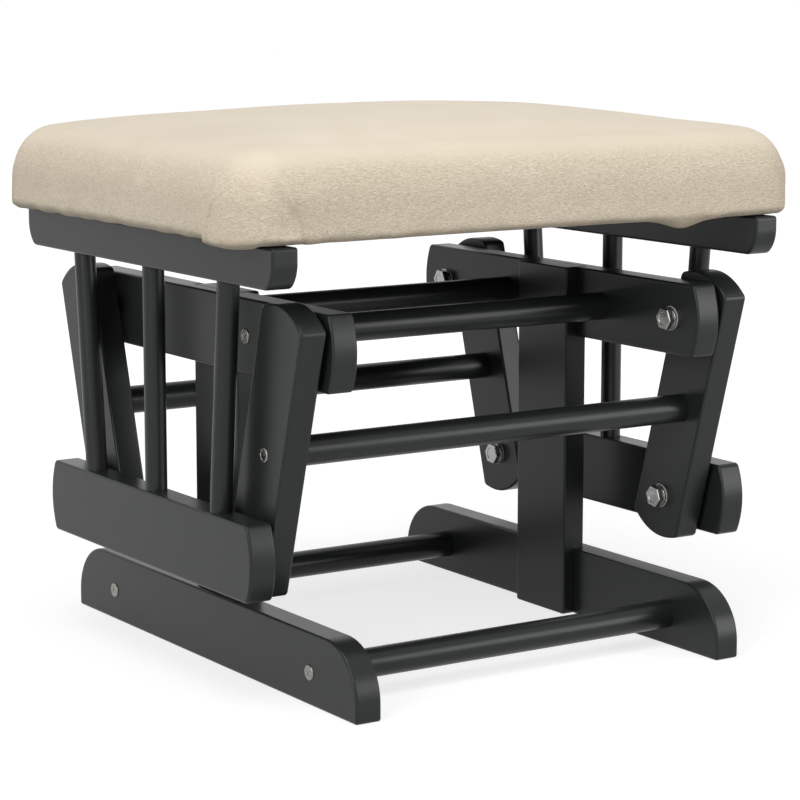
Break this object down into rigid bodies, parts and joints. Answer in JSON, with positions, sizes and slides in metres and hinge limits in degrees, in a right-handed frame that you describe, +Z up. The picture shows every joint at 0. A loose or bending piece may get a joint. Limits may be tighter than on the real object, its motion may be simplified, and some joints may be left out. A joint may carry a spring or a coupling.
{
  "type": "glider ottoman",
  "caption": "Padded footrest whose seat frame glides on four swinging arms hung from a fixed two-footed base.",
  "frame": {"origin": "on the floor, below the middle of the ottoman", "axes": "+Z up, +X across to the right-hand foot, -Y to the front; the seat glides along Y"},
  "size_m": [0.453, 0.394, 0.3768],
  "materials": {
    "painted_wood": "satin charcoal paint on hardwood",
    "zinc_steel": "bright zinc plate",
    "screw_steel": "dull nickel plate",
    "bearing_steel": "ground bearing steel",
    "nylon_bush": "natural nylon",
    "plywood": "raw plywood",
    "foam": "open-cell upholstery foam",
    "suede_fabric": "brushed microfibre suede",
    "dust_cloth": "black non-woven lining"
  },
  "bodies": {
    "base": {"foot_left": "painted_wood", "foot_right": "painted_wood", "post_left": "painted_wood", "post_right": "painted_wood", "head_rail_left": "painted_wood", "head_rail_right": "painted_wood", "base_dowel_front": "painted_wood", "base_dowel_rear": "painted_wood", "head_dowel_front": "painted_wood", "head_dowel_rear": "painted_wood", "foot_screws": "screw_steel", "head_screws": "screw_steel", "top_bearing_rings": "bearing_steel", "top_bushes": "nylon_bush"},
    "front_arms": {"arm_front_left": "painted_wood", "arm_front_right": "painted_wood", "arm_dowel_front": "painted_wood", "arm_screws_front": "screw_steel", "top_bolts_front": "zinc_steel", "top_washers_front": "zinc_steel", "top_bearing_cores_front": "bearing_steel", "top_inserts_front": "zinc_steel", "low_bearing_rings_front": "bearing_steel", "low_bushes_front": "nylon_bush"},
    "rear_arms": {"arm_rear_left": "painted_wood", "arm_rear_right": "painted_wood", "arm_dowel_rear": "painted_wood", "arm_screws_rear": "screw_steel", "top_bolts_rear": "zinc_steel", "top_washers_rear": "zinc_steel", "top_bearing_cores_rear": "bearing_steel", "top_inserts_rear": "zinc_steel", "low_bearing_rings_rear": "bearing_steel", "low_bushes_rear": "nylon_bush", "low_bolts_rear": "zinc_steel", "low_washers_rear": "zinc_steel", "low_bearing_cores_rear": "bearing_steel"},
    "seat": {"low_rail_left": "painted_wood", "low_rail_right": "painted_wood", "spindle_left_front": "painted_wood", "spindle_left_middle": "painted_wood", "spindle_left_rear": "painted_wood", "spindle_right_front": "painted_wood", "spindle_right_middle": "painted_wood", "spindle_right_rear": "painted_wood", "top_rail_left": "painted_wood", "top_rail_right": "painted_wood", "low_bolts_front": "zinc_steel", "low_washers_front": "zinc_steel", "low_bearing_cores_front": "bearing_steel", "low_inserts_front": "zinc_steel", "low_sleeves_rear": "zinc_steel", "seat_board": "plywood", "foam_pad": "foam", "seat_cover": "suede_fabric", "dust_cover": "dust_cloth", "seat_screws": "zinc_steel"}
  },
  "joints": [
    {"name": "front_swing", "type": "hinge", "parent": "base", "child": "front_arms", "pos_m": [0, -0.14, 0.234], "axis": [1, 0, 0], "range_deg": [-15, 15]},
    {"name": "rear_swing", "type": "hinge", "parent": "base", "child": "rear_arms", "pos_m": [0, 0.14, 0.234], "axis": [1, 0, 0], "range_deg": [-15.2, 15.2]},
    {"name": "seat_pivot", "type": "hinge", "parent": "front_arms", "child": "seat", "pos_m": [0, -0.102, 0.099], "axis": [1, 0, 0], "range_deg": [-21, 21]}
  ],
  "couplings": [
    {"joint": "rear_swing", "follows": "front_swing", "ratio": 1},
    {"joint": "seat_pivot", "follows": "front_swing", "ratio": -1.3625}
  ]
}
